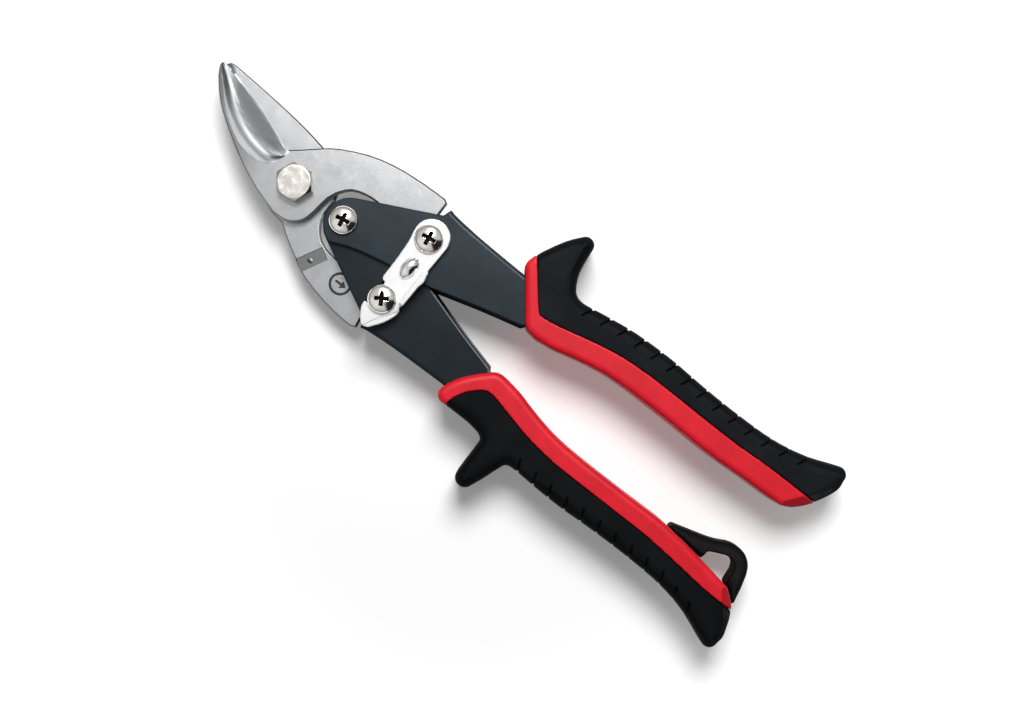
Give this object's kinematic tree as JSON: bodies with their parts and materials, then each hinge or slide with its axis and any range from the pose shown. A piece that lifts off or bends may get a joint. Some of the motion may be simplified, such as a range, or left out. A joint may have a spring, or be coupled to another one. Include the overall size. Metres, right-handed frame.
{
  "type": "aviation snips",
  "caption": "Compound-action sheet metal snips with forged blades, linked channel handles, two-colour grips, a swinging latch and an opening spring.",
  "frame": {"origin": "middle of the overall box, on the plane that the snips rest on when they lie flat", "axes": "+X from the blade tips to the grip ends, +Y towards the upper handle, +Z out of the front face, along every pivot"},
  "size_m": [0.2526, 0.0928, 0.0256],
  "materials": {
    "forged_steel": "forged, ground and satin blasted",
    "bright_steel": "bright plated",
    "painted_steel": "satin black paint",
    "spring_wire": "drawn",
    "bush_plastic": "moulded",
    "latch_zinc": "pressed and zinc plated",
    "red_grip": "moulded satin",
    "black_grip": "soft moulded",
    "loop_plastic": "moulded"
  },
  "bodies": {
    "upper_handle": {"upper_handle": "painted_steel", "upper_grip_core": "red_grip", "upper_grip_cover": "black_grip", "handle_pivot_post": "bright_steel", "handle_pivot_screw": "bright_steel", "spring_bush": "bush_plastic", "opening_spring": "spring_wire", "upper_link_post": "bright_steel", "upper_link_screw": "bright_steel", "upper_link_sleeve": "bright_steel", "latch_washer": "spring_wire"},
    "lower_handle": {"lower_handle": "painted_steel", "lower_grip_core": "red_grip", "lower_grip_cover": "black_grip", "lower_link_post": "bright_steel", "lower_link_screw": "bright_steel", "lower_link_sleeve": "bright_steel", "hang_loop": "loop_plastic"},
    "front_blade": {"front_blade": "forged_steel", "pivot_bolt": "bright_steel", "pivot_washer": "bright_steel", "pivot_nut": "bright_steel"},
    "rear_blade": {"rear_blade": "forged_steel"},
    "latch": {"latch": "latch_zinc"}
  },
  "joints": [
    {"name": "handle_open", "type": "hinge", "parent": "upper_handle", "child": "lower_handle", "pos_m": [-0.06026, -0.0001, 0.011], "axis": [0, 0, -1], "range_deg": [0, 38], "deforming": ["opening_spring"]},
    {"name": "front_blade_swing", "type": "hinge", "parent": "upper_handle", "child": "front_blade", "pos_m": [-0.03356, 0.0126, 0.011], "axis": [0, 0, -1], "range_deg": [0, 9]},
    {"name": "rear_blade_swing", "type": "hinge", "parent": "front_blade", "child": "rear_blade", "pos_m": [-0.08117, -0.0001, 0.011], "axis": [0, 0, -1], "range_deg": [0, 20.2]},
    {"name": "latch_swing", "type": "hinge", "parent": "upper_handle", "child": "latch", "pos_m": [-0.03356, 0.0126, 0.011], "axis": [0, 0, 1], "range_deg": [0, 86]}
  ],
  "couplings": [
    {"joint": "front_blade_swing", "follows": "handle_open", "ratio": 0.2355},
    {"joint": "rear_blade_swing", "follows": "handle_open", "ratio": 0.529},
    {"joint": "latch_swing", "follows": "handle_open", "ratio": 2.25}
  ]
}
